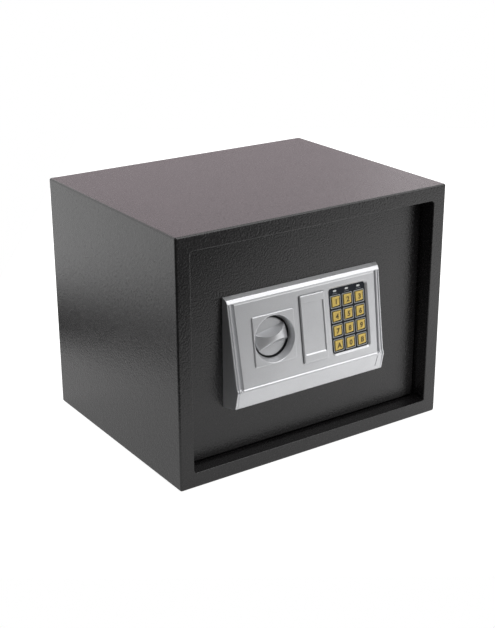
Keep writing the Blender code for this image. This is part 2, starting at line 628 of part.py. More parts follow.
def screw(name, place, seat, tip, zinc, door):
    x, z = place
    made = build_object(name, disc(2.0, tip, seat + 1, place, 10), zinc, (x, seat, z), door)
    head = circle(4.0, 12)
    add(made, upright([(head, seat), (head, seat + 1.4), (circle(2.8, 12), seat + 2.4)], place))
    cut(made, box((x - 2.2, seat + 1.2, z - 0.5), (x + 2.2, seat + 5, z + 0.5)))
    cut(made, box((x - 0.5, seat + 1.2, z - 2.2), (x + 0.5, seat + 5, z + 2.2)))


def battery_pieces(black_plastic, cell, door):
    holder = build_object("battery_holder", box(HOLDER_LO, HOLDER_HI), black_plastic, parent=door)
    wall = Vector((COVER_WALL, COVER_WALL, COVER_WALL))
    inner_high = HOLDER_HI - wall
    inner_high.y += 10
    cut(holder, box(HOLDER_LO + wall, inner_high))
    for i in range(4):
        z = HOLDER_LO.z + COVER_WALL + CELL_PITCH * (i + 0.5)
        y = HOLDER_LO.y + COVER_WALL + GAP + CELL_R
        x = HOLDER_LO.x + 4.5
        ends = [(x, CELL_R - 0.4), (x + 0.4, CELL_R), (x + CELL_LENGTH - 1.8, CELL_R),
                (x + CELL_LENGTH - 1.4, CELL_R - 0.4), (x + CELL_LENGTH - 1.4, 2.6), (x + CELL_LENGTH, 2.6)]
        shape = loft([[(px, y + a, z + b) for a, b in circle(r, 14)] for px, r in ends])
        build_object(f"battery_{i + 1}", shape, cell, (x, y, z), door)


def electronics_pieces(board, red, lead, door):
    y0, y1 = -112.0, -110.4
    made = build_object("control_board", box((-98, y0, 191), (-28, y1, 227)), board, parent=door)
    parts = (((-62, 214), (12, 12), 3.0), ((-46, 200), (9, 6), 1.6), ((-36, 218), (9, 5), 4.5),
             ((-36, 206), (9, 5), 4.5), ((-52, 193.5), (9, 4), 4.5), ((-85, 208), (6, 6), 1.2))
    for (x, z), (w, h), rise in parts:
        add(made, box((x - w / 2, y1 - 0.4, z - h / 2), (x + w / 2, y1 + rise, z + h / 2)))
    build_object("reset_button", upright([(circle(3.0, 20), y1 + 3.4), (circle(3.0, 20), COVER_HI.y + 0.8),
                                          (circle(2.4, 20), COVER_HI.y + 1.4)], (RESET_X, RESET_Z)),
                 red, (RESET_X, COVER_HI.y, RESET_Z), door)

    plug_y = y1 + 4.5 + 1.5
    ribbon = [(52, -130.2, 202.5), (52, -126, 203.5), (52, -118, 206), (46, -114, 217),
              (30, -112, 226), (2, -108, 227), (-22, -104.6, 223), (-36, plug_y, 218)]
    coil_pair = [(11.5, -109, 214), (3, -107, 217), (-10, -105, 214), (-24, -104.2, 208), (-36, plug_y, 206)]
    cell_pair = [(-36.8, -108, 128), (-33, -104, 134), (-32, -102, 150), (-35, -101.5, 172),
                 (-44, -102.2, 187), (-52, plug_y, 193.5)]
    for name, path, radius in (("keypad_cable", ribbon, 1.2), ("solenoid_leads", coil_pair, 0.9),
                               ("battery_leads", cell_pair, 0.9)):
        build_object(name, tube(path, radius), lead, parent=door)


# ---------------------------------------------------------------- assembly

def main():
    for old in list(bpy.data.objects):
        bpy.data.objects.remove(old, do_unlink=True)

    steel = material("black_steel", (0.035, 0.034, 0.036), 0.55, 0.0)
    silver = material("silver_plastic", (0.45, 0.45, 0.47), 0.35, 0.3)
    black_plastic = material("black_plastic", (0.02, 0.022, 0.028), 0.4)
    gold = material("gold_key", (0.62, 0.47, 0.16), 0.35, 0.4)
    bright = material("bright_steel", (0.62, 0.62, 0.62), 0.25, 1.0)
    zinc = material("zinc_plate", (0.55, 0.56, 0.58), 0.4, 1.0)
    chrome = material("lock_chrome", (0.7, 0.7, 0.72), 0.15, 1.0)
    brass = material("lock_brass", (0.7, 0.52, 0.22), 0.3, 1.0)
    board = material("circuit_board", (0.02, 0.16, 0.06), 0.5)
    lamp = material("indicator", (0.75, 0.76, 0.72), 0.3)
    winding = material("coil_tape", (0.5, 0.33, 0.05), 0.5)
    cell = material("battery_skin", (0.06, 0.06, 0.07), 0.3)
    red = material("reset_red", (0.6, 0.03, 0.03), 0.4)
    lead = material("lead_insulation", (0.05, 0.05, 0.05), 0.5)
    carpet = material("carpet", (0.05, 0.05, 0.055), 0.95)

    door = pivot("door_hinge_axis", (HINGE_X, HINGE_Y, 0))
    box_pieces(steel, carpet)
    door_pieces(steel, bright, door)
    panel_pieces(silver, door)
    keypad_pieces(black_plastic, gold, lamp, board, door)
    knob_piece(silver, door)
    cover_piece(silver, door)
    lock_pieces(chrome, brass, door)
    spindle_piece(bright, door)
    chassis_piece(zinc, door)
    bolt_pieces(zinc, bright, door)
    solenoid_pieces(zinc, bright, winding, door)
    cover_pieces(steel, black_plastic, door)
    battery_pieces(black_plastic, cell, door)
    electronics_pieces(board, red, lead, door)
    for i, place in enumerate(SCREW_PLACES):
        screw(f"fascia_screw_{i + 1}", place, CHASSIS_Y, DOOR_FRONT - 3.8, zinc, door)
    for i, place in enumerate(COVER_SCREW_PLACES):
        screw(f"rear_cover_screw_{i + 1}", place, CHASSIS_Y + COVER_WALL + GAP, DOOR_BACK - 2.6, zinc, door)


main()
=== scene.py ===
"""Looks of an electronic room safe around its CAD frame.

Pieces are designed in millimetres in the frame's own directions: +X to the right, -Y out of the
door and +Z up. The lock panel's slanted face has its own directions: x, v up the face and level out.
"""
import math

import bmesh
import bpy
from mathutils import Matrix, Vector


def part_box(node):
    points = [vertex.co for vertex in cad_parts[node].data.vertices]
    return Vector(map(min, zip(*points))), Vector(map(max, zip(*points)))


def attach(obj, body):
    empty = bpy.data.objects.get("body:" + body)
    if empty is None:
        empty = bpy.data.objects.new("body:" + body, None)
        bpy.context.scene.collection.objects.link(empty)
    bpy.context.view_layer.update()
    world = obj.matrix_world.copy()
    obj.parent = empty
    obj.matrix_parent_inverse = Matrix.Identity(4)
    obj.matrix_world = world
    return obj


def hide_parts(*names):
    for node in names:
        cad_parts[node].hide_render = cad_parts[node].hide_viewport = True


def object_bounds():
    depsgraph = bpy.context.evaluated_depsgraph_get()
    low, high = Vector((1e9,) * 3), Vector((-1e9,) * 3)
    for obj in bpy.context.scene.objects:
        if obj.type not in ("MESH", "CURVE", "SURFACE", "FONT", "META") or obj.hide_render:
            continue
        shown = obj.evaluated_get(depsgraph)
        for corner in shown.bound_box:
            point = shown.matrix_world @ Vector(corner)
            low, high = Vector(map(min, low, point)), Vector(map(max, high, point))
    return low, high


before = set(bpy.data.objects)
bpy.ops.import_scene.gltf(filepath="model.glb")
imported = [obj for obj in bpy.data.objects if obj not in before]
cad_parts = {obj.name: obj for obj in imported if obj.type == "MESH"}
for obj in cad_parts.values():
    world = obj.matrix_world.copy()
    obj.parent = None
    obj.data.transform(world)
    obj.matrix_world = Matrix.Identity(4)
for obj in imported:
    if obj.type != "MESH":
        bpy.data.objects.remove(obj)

MM = 0.001
cad_low, cad_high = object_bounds()


def node_box(name):
    """Lowest and highest corner of a CAD node, in millimetres."""
    low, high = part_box(name)
    return Vector(low) / MM, Vector(high) / MM


# ---------------------------------------------------------------- sizes, in millimetres

# The casing. The frame's face stands a little proud of the CAD's, as in the photo.
SHELL_LOW, SHELL_HIGH = node_box("body_shell")
WIDTH = SHELL_HIGH.x - SHELL_LOW.x
HEIGHT = SHELL_HIGH.z - SHELL_LOW.z
FRONT, BACK = node_box("front_frame")[0].y, SHELL_HIGH.y
FACE_FRONT = FRONT - 0.6
MID_Z = HEIGHT / 2
SHEET = 1.5
BORDER = 18.5
FOLD_R, LIP_R, OPENING_EDGE_R, OPENING_CORNER_R = 2.2, 2.4, 1.1, 3.5
OPENING_W, OPENING_H = WIDTH - 2 * BORDER, HEIGHT - 2 * BORDER
DOOR_FRONT = node_box("door_plate")[0].y
RETURN_END = DOOR_FRONT + 3.5
BOLT_RETURN_END = DOOR_FRONT + 7.0
ANCHOR_X, ANCHOR_Y, ANCHOR_R = 90.0, 40.0, 5.0

# The lock panel. Its profile is (distance out of the door, height), from the top down to the foot.
GAP = 0.3
PANEL_LEFT, PANEL_RIGHT = -119.1, 100.5
LEFT_DRAFT, RIGHT_DRAFT = 0.164, 0.085
PANEL_WALL, SIDE_WALL = 2.5, 11.0
PANEL_TOP = (GAP, 213.2)
TOP_EDGE, BEVEL_END = (5.9, 210.4), (8.1, 206.4)
BREAK = (24.1, 103.0)
STRIP_END = (20.8, 82.3)
PANEL_FOOT = (GAP, 79.2)
PANEL_PROFILE = [PANEL_TOP, TOP_EDGE, BEVEL_END, BREAK, STRIP_END, PANEL_FOOT]
STRIP_RISE, RAIL_DROP, LINE_DEPTH, GROOVE_DEPTH, CHANNEL_DEPTH = 0.9, 0.5, 0.22, 1.6, 3.0
FACE_LENGTH = 105.0
PLATE_EDGES = {-1: (-109.0, 3.5), 1: (91.3, -2.9)}  # at the top of the face, and how far in at the break

# The slanted face: the CAD's own slope, from the break up to the CAD's face top.
CAD_FACE_TOP = (7.9, 206.4)
FACE_TILT = math.atan2(BREAK[0] - CAD_FACE_TOP[0], CAD_FACE_TOP[1] - BREAK[1])
FACE = (Matrix.Translation((0.0, DOOR_FRONT - BREAK[0], BREAK[1]))
        @ Matrix.Rotation(math.pi / 2 - FACE_TILT, 4, "X"))

# Places on the face are (x, v); levels are heights over it.
KNOB = (-59.0, 54.5)
KNOB_PLATE, KNOB_PLATE_W, KNOB_PLATE_H, KNOB_PLATE_RISE = (-58.9, 53.9), 58.6, 60.0, 1.5
DISH, DISH_TOP_R, DISH_LOW_R, DISH_LIP, DISH_FLOOR = (-58.8, 53.4), 27.6, 24.5, -7.2, -10.3
DISH_RIM, DISH_WALL, HUB_HOLE_R = 1.2, 1.2, 6.8
LIP_SHIFT = (0.6, 0.8)
KNOB_R, KNOB_FACE, KNOB_BACK = 22.4, -7.4, -9.2
GRIP_RISE, GRIP_HALF_LENGTH, GRIP_TURN = 10.8, 23.2, math.radians(10)
GRIP_TOP, GRIP_LOW, GRIP_FLARE, GRIP_FOOT = 3.2, 2.6, 0.0150, 9.9
HUB_R, HUB_END, TANG_W, TANG_H, TANG_END = 5.8, -14.0, 6.4, 1.4, -18.6
COVER, COVER_W, COVER_H, COVER_RISE = (-2.9, 54.5), 35.6, 81.0, 2.5
LOCK_X, LOCK_Z, LOCK_R = -2.7, 156.7, 9.5
WINDOW, WINDOW_W, WINDOW_H = (50.8, 54.3), 54.0, 79.0
WELL_DEPTH = 1.8
KEY_PITCH_X, KEY_PITCH_V, KEY_ROW_V = 17.5, 17.7, 77.5
KEY_SIZE, KEY_FLANGE, KEY_HOLE, KEY_TOP, KEY_FOOT = 12.0, 14.2, 12.8, -0.2, -5.4
KEY_NAMES = [["1", "2", "3"], ["4", "5", "6"], ["7", "8", "9"], ["a", "0", "b"]]
LAMP_V, LAMP_W, LAMP_H = 90.3, 4.2, 2.1
MARK_DROP, MARK_W, MARK_H = 3.1, 7.2, 0.75
LEGEND_SIZE = 8.6


# ---------------------------------------------------------------- surfaces

class Surface:
    """A Principled material with helpers for the procedural nodes that feed it."""

    def __init__(self, name, roughness, metallic=0.0, **sockets):
        self.material = bpy.data.materials.new(name)
        self.material.use_nodes = True
        self.tree = self.material.node_tree
        self.shader = self.tree.nodes["Principled BSDF"]
        self.shader.inputs["Roughness"].default_value = roughness
        self.shader.inputs["Metallic"].default_value = metallic
        for socket, value in sockets.items():
            self.shader.inputs[socket.replace("_", " ")].default_value = value
        self.place = self.tree.nodes.new("ShaderNodeTexCoord").outputs["Object"]

    def node(self, kind, **inputs):
        made = self.tree.nodes.new(kind)
        for name, value in inputs.items():
            socket = made.inputs[name.replace("_", " ")]
            if isinstance(value, bpy.types.NodeSocket):
                self.tree.links.new(value, socket)
            else:
                socket.default_value = value
        return made

    def stretched(self, scale):
        mapping = self.node("ShaderNodeMapping", Vector=self.place)
        mapping.inputs["Scale"].default_value = scale
        return mapping.outputs["Vector"]

    def noise(self, size_mm, detail=2.0, roughness=0.5, place=None):
        made = self.node("ShaderNodeTexNoise", Vector=place or self.place, Scale=1.0 / (size_mm * MM),
                         Detail=detail, Roughness=roughness)
        return made.outputs["Fac"]

    def cells(self, size_mm):
        made = self.node("ShaderNodeTexVoronoi", Vector=self.place, Scale=1.0 / (size_mm * MM))
        made.feature = "SMOOTH_F1"
        made.inputs["Smoothness"].default_value = 0.6
        return made.outputs["Distance"]

    def ramp(self, value, *stops):
        made = self.node("ShaderNodeValToRGB", Fac=value)
        ramp = made.color_ramp
        while len(ramp.elements) < len(stops):
            ramp.elements.new(0.5)
        for element, (position, colour) in zip(ramp.elements, stops):
            element.position = position
            element.color = (*colour, 1.0) if hasattr(colour, "__len__") else (colour, colour, colour, 1.0)
        return made.outputs["Color"]

    def maths(self, operation, a, b):
        made = self.tree.nodes.new("ShaderNodeMath")
        made.operation = operation
        for socket, value in zip(made.inputs, (a, b)):
            if isinstance(value, bpy.types.NodeSocket):
                self.tree.links.new(value, socket)
            else:
                socket.default_value = value
        return made.outputs["Value"]

    def bump(self, height, depth_mm, strength=1.0, under=None):
        made = self.node("ShaderNodeBump", Height=height, Strength=strength, Distance=depth_mm * MM)
        if under:
            self.tree.links.new(under, made.inputs["Normal"])
        return made.outputs["Normal"]

    def use(self, **links):
        for name, value in links.items():
            self.tree.links.new(value, self.shader.inputs[name.replace("_", " ")])
        return self.material


def powder_coat():
    """Fine wrinkled black powder coat with a hint of warm dust."""
    made = Surface("powder_coat", 0.25)
    wrinkle, grain, drift = made.noise(2.1, 2.0, 0.5), made.noise(0.8, 2.0, 0.6), made.noise(60.0, 2.0)
    speck = made.maths("ADD", made.maths("MULTIPLY", grain, 0.55), made.maths("MULTIPLY", wrinkle, 0.45))
    made.use(Base_Color=made.ramp(made.maths("ADD", made.maths("MULTIPLY", speck, 0.7),
                                             made.maths("MULTIPLY", drift, 0.3)),
                                  (0.34, (0.0065, 0.0062, 0.0066)), (0.66, (0.0145, 0.0135, 0.0140))),
             Roughness=made.ramp(speck, (0.36, 0.20), (0.64, 0.29)))
    return made.use(Normal=made.bump(grain, 0.07, 0.8, made.bump(wrinkle, 0.30, 1.0)))


def silver_lacquer():
    """Silver flake lacquer on moulded plastic."""
    made = Surface("silver_lacquer", 0.37, 0.64)
    flake, drift = made.noise(0.35, 1.0), made.noise(35.0, 2.0)
    made.use(Base_Color=made.ramp(made.maths("ADD", made.maths("MULTIPLY", flake, 0.7),
                                             made.maths("MULTIPLY", drift, 0.3)),
                                  (0.30, (0.56, 0.565, 0.58)), (0.70, (0.68, 0.685, 0.70))),
             Roughness=made.ramp(made.noise(0.8, 2.0), (0.3, 0.31), (0.7, 0.39)))
    return made.use(Normal=made.bump(flake, 0.012, 0.5))


def plain_plastic(name, dark, light, rough, size_mm=0.6, depth_mm=0.015, **sockets):
    """Moulded plastic with a spark-eroded grain."""
    made = Surface(name, rough, **sockets)
    grain = made.noise(size_mm, 3.0)
    made.use(Base_Color=made.ramp(grain, (0.3, dark), (0.7, light)),
             Roughness=made.ramp(made.noise(4.0, 2.0), (0.3, rough - 0.05), (0.7, rough + 0.06)))
    return made.use(Normal=made.bump(grain, depth_mm, 0.6))


def metal(name, dark, light, rough, scale=(30.0, 900.0, 900.0), depth_mm=0.006):
    """Metal with a fine directional finish and slow tarnish."""
    made = Surface(name, rough, 1.0)
    streak = made.noise(1000.0, 3.0, 0.6, made.stretched(scale))
    tarnish = made.noise(9.0, 3.0)
    made.use(Base_Color=made.ramp(made.maths("ADD", made.maths("MULTIPLY", streak, 0.4),
                                             made.maths("MULTIPLY", tarnish, 0.6)),
                                  (0.3, dark), (0.7, light)),
             Roughness=made.ramp(tarnish, (0.3, rough - 0.06), (0.7, rough + 0.08)))
    return made.use(Normal=made.bump(streak, depth_mm, 0.5))


def needle_felt():
    """Dark needle felt with loose fibres."""
    made = Surface("needle_felt", 0.95, Sheen_Weight=0.4, Sheen_Roughness=0.5)
    fibre = made.noise(0.9, 6.0, 0.75, made.stretched((1.0, 1.8, 1.0)))
    clump = made.noise(7.0, 3.0)
    made.use(Base_Color=made.ramp(made.maths("ADD", made.maths("MULTIPLY", fibre, 0.7),
                                             made.maths("MULTIPLY", clump, 0.3)),
                                  (0.32, (0.010, 0.010, 0.012)), (0.70, (0.055, 0.055, 0.060))))
    return made.use(Normal=made.bump(fibre, 0.6, 0.8))


def circuit_board():
    """Green solder mask over copper tracks."""
    made = Surface("solder_mask", 0.35)
    tracks = made.ramp(made.cells(3.0), (0.42, (0.010, 0.11, 0.045)), (0.50, (0.022, 0.19, 0.075)))
    made.use(Base_Color=tracks)
    return made.use(Normal=made.bump(made.cells(3.0), 0.03, 0.5))


def winding_tape():
    """Amber tape wound round a coil."""
    made = Surface("winding_tape", 0.4)
    wave = made.node("ShaderNodeTexWave", Vector=made.place, Scale=180.0, Distortion=0.4)
    wave.bands_direction = "Z"
    made.use(Base_Color=made.ramp(wave.outputs["Fac"], (0.2, (0.33, 0.19, 0.02)), (0.8, (0.52, 0.33, 0.05))))
    return made.use(Normal=made.bump(wave.outputs["Fac"], 0.08, 0.6))


COAT = powder_coat()
SILVER = silver_lacquer()
MASK = plain_plastic("keypad_mask", (0.007, 0.009, 0.014), (0.011, 0.014, 0.022), 0.45,
                     Specular_IOR_Level=0.2)
# black moulding for the battery parts; the same material is painted shade in the gap round the knob
BLACK_AND_SHADE = plain_plastic("black_moulding_and_shade", (0.012, 0.013, 0.015), (0.024, 0.025, 0.028), 0.42, 0.9, 0.03)
GOLD = plain_plastic("gold_lacquer", (0.56, 0.40, 0.085), (0.74, 0.54, 0.15), 0.34, 0.4, 0.01, Metallic=0.35)
SURROUND = plain_plastic("key_surround", (0.30, 0.31, 0.31), (0.42, 0.43, 0.42), 0.38, 0.5)
LEGEND = plain_plastic("legend_ink", (0.070, 0.046, 0.010), (0.115, 0.078, 0.018), 0.55, 0.3)
MARK = plain_plastic("mark_ink", (0.12, 0.13, 0.15), (0.18, 0.19, 0.21), 0.55, 0.3)
LAMP = plain_plastic("lamp_window", (0.52, 0.54, 0.54), (0.72, 0.74, 0.73), 0.2, 1.0, 0.01)
CELL = plain_plastic("cell_sleeve", (0.02, 0.02, 0.024), (0.045, 0.045, 0.05), 0.25, 2.5)
RED = plain_plastic("reset_red", (0.42, 0.012, 0.012), (0.60, 0.03, 0.025), 0.35)
LEAD = plain_plastic("lead_insulation", (0.018, 0.018, 0.02), (0.04, 0.04, 0.042), 0.5, 0.8, 0.02)
ZINC = metal("zinc_plate", (0.40, 0.41, 0.43), (0.62, 0.63, 0.64), 0.38)
STEEL = metal("bright_steel", (0.46, 0.46, 0.47), (0.66, 0.66, 0.66), 0.27, (700.0, 700.0, 700.0), 0.0015)
CHROME = metal("lock_chrome", (0.55, 0.55, 0.57), (0.74, 0.74, 0.76), 0.14)
BRASS = metal("lock_brass", (0.50, 0.34, 0.11), (0.72, 0.54, 0.22), 0.28)
FELT = needle_felt()
BOARD = circuit_board()
TAPE = winding_tape()


# ---------------------------------------------------------------- mesh helpers, in millimetres

def loft(rings, closed=False):
    """Skins rings that have the same number of points. A closed loft joins its last ring to its first."""
    shape = bmesh.new()
    rows = [[shape.verts.new(point) for point in ring] for ring in rings]
    count = len(rows[0])
    pairs = list(zip(rows, rows[1:]))
    if closed:
        pairs.append((rows[-1], rows[0]))
    for lower, upper in pairs:
        for i in range(count):
            j = (i + 1) % count
            shape.faces.new((lower[i], lower[j], upper[j], upper[i]))
    if not closed:
        shape.faces.new(rows[0][::-1])
        shape.faces.new(rows[-1])
    return shape


def outline(width, height, radius, steps=6):
    """A rounded rectangle round the origin, anticlockwise."""
    points = []
    for corner, (sx, sy) in enumerate(((1, 1), (-1, 1), (-1, -1), (1, -1))):
        cx, cy = sx * (width / 2 - radius), sy * (height / 2 - radius)
        for step in range(steps + 1):
            angle = math.pi / 2 * (corner + step / steps)
            points.append((cx + radius * math.cos(angle), cy + radius * math.sin(angle)))
    return points


def circle(radius, steps=72):
    """Points of a circle round the origin."""
    return [(radius * math.cos(2 * math.pi * i / steps), radius * math.sin(2 * math.pi * i / steps))
            for i in range(steps)]


def upright(outlines, centre=(0.0, 0.0), closed=False):
    """Lofts outlines given as (points, y), each in a plane that faces the front."""
    cx, cz = centre
    return loft([[(cx + x, y, cz + z) for x, z in points] for points, y in outlines], closed)


def on_face(outlines, centre, closed=False):
    """Lofts outlines given as (points, level) on the panel's slanted face."""
    cx, cv = centre
    shape = loft([[(cx + x, cv + v, level) for x, v in points] for points, level in outlines], closed)
    bmesh.ops.transform(shape, matrix=FACE, verts=shape.verts)
    return shape


def box(low, high):
    """A block between two corners."""
    (x0, y0, z0), (x1, y1, z1) = low, high
    ring = [(x0, y0), (x1, y0), (x1, y1), (x0, y1)]
    return loft([[(x, y, z) for x, y in ring] for z in (z0, z1)])


def rounded_edge(width, height, radius, low, high, edge, steps=4):
    """Outlines of a plate from level low to level high whose upper rim is rounded."""
    rows = [(outline(width, height, radius), low)]
    for step in range(steps + 1):
        angle = math.pi / 2 * step / steps
        inset = edge * (1 - math.cos(angle))
        rows.append((outline(width - 2 * inset, height - 2 * inset, max(radius - inset, 0.2)),
                     high - edge + edge * math.sin(angle)))
    return rows


def gather(shape, part):
    """Adds one shape to another that holds several."""
    mesh = bpy.data.meshes.new("part")
    part.to_mesh(mesh)
    part.free()
    shape.from_mesh(mesh)
    bpy.data.meshes.remove(mesh)


def helper_object(shape):
    """A shape as a plain object, for the Boolean steps."""
    bmesh.ops.recalc_face_normals(shape, faces=shape.faces)
    mesh = bpy.data.meshes.new("helper")
    shape.to_mesh(mesh)
    shape.free()
    made = bpy.data.objects.new("helper", mesh)
    bpy.context.collection.objects.link(made)
    return made


def carved(base, *steps):
    """The base with solids added or cut away, as one exact closed mesh."""
    target = helper_object(base)
    helpers = []
    for operation, shape in steps:
        helper = helper_object(shape)
        step = target.modifiers.new("step", "BOOLEAN")
        step.operation, step.object, step.solver = operation, helper, "EXACT"
        helpers.append(helper)
    result = bmesh.new()
    result.from_object(target, bpy.context.evaluated_depsgraph_get())
    for used in [target] + helpers:
        mesh = used.data
        bpy.data.objects.remove(used, do_unlink=True)
        bpy.data.meshes.remove(mesh)
    return result


def piece(name, shape, surfaces, body, replaced=(), sharp=32.0):
    """Writes a shape in millimetres to a piece in metres that rides on a body."""
    bmesh.ops.remove_doubles(shape, verts=shape.verts, dist=0.0005)
    bmesh.ops.dissolve_degenerate(shape, edges=shape.edges, dist=0.0005)
    bmesh.ops.recalc_face_normals(shape, faces=shape.faces)
    bmesh.ops.transform(shape, matrix=Matrix.Scale(MM, 4), verts=shape.verts)
    mesh = bpy.data.meshes.new(name)
    shape.to_mesh(mesh)
    shape.free()
    for surface in surfaces:
        mesh.materials.append(surface)
    mesh.shade_smooth()
    mesh.set_sharp_from_angle(angle=math.radians(sharp))
    made = bpy.data.objects.new(name, mesh)
    bpy.context.collection.objects.link(made)
    weighted = made.modifiers.new("even_shading", "WEIGHTED_NORMAL")
    weighted.keep_sharp = True
    weighted.weight = 80
    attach(made, body)
    if replaced:
        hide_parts(*replaced)
    return made


# ---------------------------------------------------------------- the box

def casing():
    """Folded tube and pressed front frame under one coat: rings run from the back, round the front lip,
    through the opening and back again inside the walls."""
    outer = outline(WIDTH, HEIGHT, FOLD_R)
    rings = [(outer, BACK - 0.4), (outer, FACE_FRONT + LIP_R)]
    for step in range(1, 7):
        angle = math.pi / 2 * step / 6
        inset = LIP_R * (1 - math.cos(angle))
        rings.append((outline(WIDTH - 2 * inset, HEIGHT - 2 * inset, FOLD_R),
                      FACE_FRONT + LIP_R * (1 - math.sin(angle))))
    for step in range(6):
        angle = math.pi / 2 * step / 5
        grow = OPENING_EDGE_R * (1 - math.sin(angle))
        rings.append((outline(OPENING_W + 2 * grow, OPENING_H + 2 * grow, OPENING_CORNER_R + grow),
                      FACE_FRONT + OPENING_EDGE_R * (1 - math.cos(angle))))
    sleeve = outline(OPENING_W + 2 * SHEET, OPENING_H + 2 * SHEET, OPENING_CORNER_R + SHEET)
    inner = outline(WIDTH - 2 * SHEET, HEIGHT - 2 * SHEET, 1.6)
    rings += [(outline(OPENING_W, OPENING_H, OPENING_CORNER_R), RETURN_END), (sleeve, RETURN_END),
              (sleeve, FRONT + SHEET), (inner, FRONT + SHEET), (inner, BACK),
              (outline(WIDTH - 0.8, HEIGHT - 0.8, FOLD_R - 0.4), BACK)]
    side = OPENING_W / 2
    bolt_return = box((side, RETURN_END - 1, 2 * BORDER),
                      (side + SHEET, BOLT_RETURN_END, HEIGHT - 2 * BORDER))
    steps = [("UNION", bolt_return)]
    for x in (-ANCHOR_X, ANCHOR_X):
        hole = [[(x + a, ANCHOR_Y + b, z) for a, b in circle(ANCHOR_R, 32)] for z in (-5.0, 5.0)]
        steps.append(("DIFFERENCE", loft(hole)))
    piece("casing", carved(upright(rings, (0, MID_Z), closed=True), *steps), [COAT], "carcass",
          ("body_shell", "front_frame"))


def floor_cloth():
    """Felt laid on the floor, with softly rolled edges and a slightly uneven surface."""
    low, high = node_box("floor_mat")
    width, length = high.x - low.x, high.y - low.y
    count_x, count_y = 64, 46
    shape = bmesh.new()
    rows = []
    for top in (False, True):
        layer = []
        for j in range(count_y + 1):
            row = []
            for i in range(count_x + 1):
                x, y = low.x + width * i / count_x, low.y + length * j / count_y
                rim = min(i, count_x - i, j, count_y - j)
                wave = (0.12 * math.sin(0.045 * x + 0.7) * math.cos(0.06 * y)
                        + 0.08 * math.sin(0.13 * x - 0.11 * y))
                height = high.z - 0.25 + wave - (0.5 if rim == 0 else 0.0)
                row.append(shape.verts.new((x, y, height if top else low.z)))
            layer.append(row)
        rows.append(layer)
    for layer, flip in zip(rows, (True, False)):
        for j in range(count_y):
            for i in range(count_x):
                face = (layer[j][i], layer[j][i + 1], layer[j + 1][i + 1], layer[j + 1][i])
                shape.faces.new(face[::-1] if flip else face)
    lower, upper = rows
    rim_lower = (lower[0] + [row[-1] for row in lower[1:]] + lower[-1][-2::-1]
                 + [row[0] for row in lower[-2:0:-1]])
    rim_upper = (upper[0] + [row[-1] for row in upper[1:]] + upper[-1][-2::-1]
                 + [row[0] for row in upper[-2:0:-1]])
    for i in range(len(rim_lower)):
        j = (i + 1) % len(rim_lower)
        shape.faces.new((rim_lower[i], rim_lower[j], rim_upper[j], rim_upper[i]))
    cloth = piece("floor_felt", shape, [FELT], "carcass", ("floor_mat",), 60.0)


# ---------------------------------------------------------------- the lock panel

def fillet(before, corner, after, radius, steps):
    """Points and outward directions round a convex corner of the panel's profile."""
    corner = Vector(corner)
    a, b = (Vector(before) - corner).normalized(), (Vector(after) - corner).normalized()
    half = a.angle(b) / 2
    centre = corner + (a + b).normalized() * radius / math.sin(half)
    start = (corner + a * radius / math.tan(half)) - centre
    end = (corner + b * radius / math.tan(half)) - centre
    turn = start.angle(end)
    rows = []
    for step in range(steps + 1):
        share = step / steps
        way = (start * math.sin((1 - share) * turn) + end * math.sin(share * turn)) / math.sin(turn)
        rows.append((centre + way, way.normalized()))
    return rows


def between(value, low, high):
    """0 at low, 1 at high, eased."""
    share = min(max((value - low) / (high - low), 0.0), 1.0)
    return share * share * (3 - 2 * share)


def panel_stations():
    """(place, outward, height v up the face) from the panel's top edge round to its foot.

    v is 0 at the break and about 105 where the bevel starts."""
    along = (Vector(BEVEL_END) - Vector(BREAK)).normalized()
    outward = Vector((along.y, -along.x))
    rim = Vector((0.6, 0.0))
    stations = [(Vector(PANEL_TOP) + rim, Vector((0.24, 0.97)), 130.0)]
    for place, way in (fillet(PANEL_TOP, TOP_EDGE, BEVEL_END, 0.9, 4)
                       + fillet(TOP_EDGE, BEVEL_END, BREAK, 0.8, 4)):
        stations.append((place, way, 106.5))
    heights = [103.8, 103.6, 103.3, 103.0, 102.6, 102.3, 102.0, 101.7, 80.0, 55.0, 30.0, 6.0, 4.2, 3.6,
               3.1, 2.6, 2.2, 1.8, 1.4, 1.1]
    for v in heights:
        stations.append((Vector(BREAK) + along * v, outward, v))
    for place, way in fillet(BEVEL_END, BREAK, STRIP_END, 2.2, 5):
        stations.append((place, way, 0.0))
    for place, way in fillet(BREAK, STRIP_END, PANEL_FOOT, 2.0, 6):
        stations.append((place, way, -18.0))
    stations.append((Vector(PANEL_FOOT) + rim, Vector((0.25, -0.97)), -40.0))
    return stations


# Across one side rail, from the panel's edge inwards: share of the rail's width, what it follows, depth
RAIL = [(0.000, "rail", 0.80), (0.008, "rail", 0.42), (0.030, "rail", 0.18), (0.065, "rail", 0.03),
        (0.100, "rail", 0.0), (0.185, "rail", 0.0), (0.200, "groove", 0.15), (0.215, "groove", 0.95),
        (0.245, "groove", 1.0), (0.345, "groove", 0.20), (0.365, "rail", 0.0), (0.570, "rail", 0.0),
        (0.595, "channel", 0.10), (0.620, "channel", 0.95), (0.715, "channel", 1.0), (0.820, "channel", 0.62),
        (0.925, "channel", 0.24), (0.960, "plate", 0.55), (0.980, "plate", 0.18), (1.000, "plate", 0.04),
        (1.035, "plate", 0.0)]


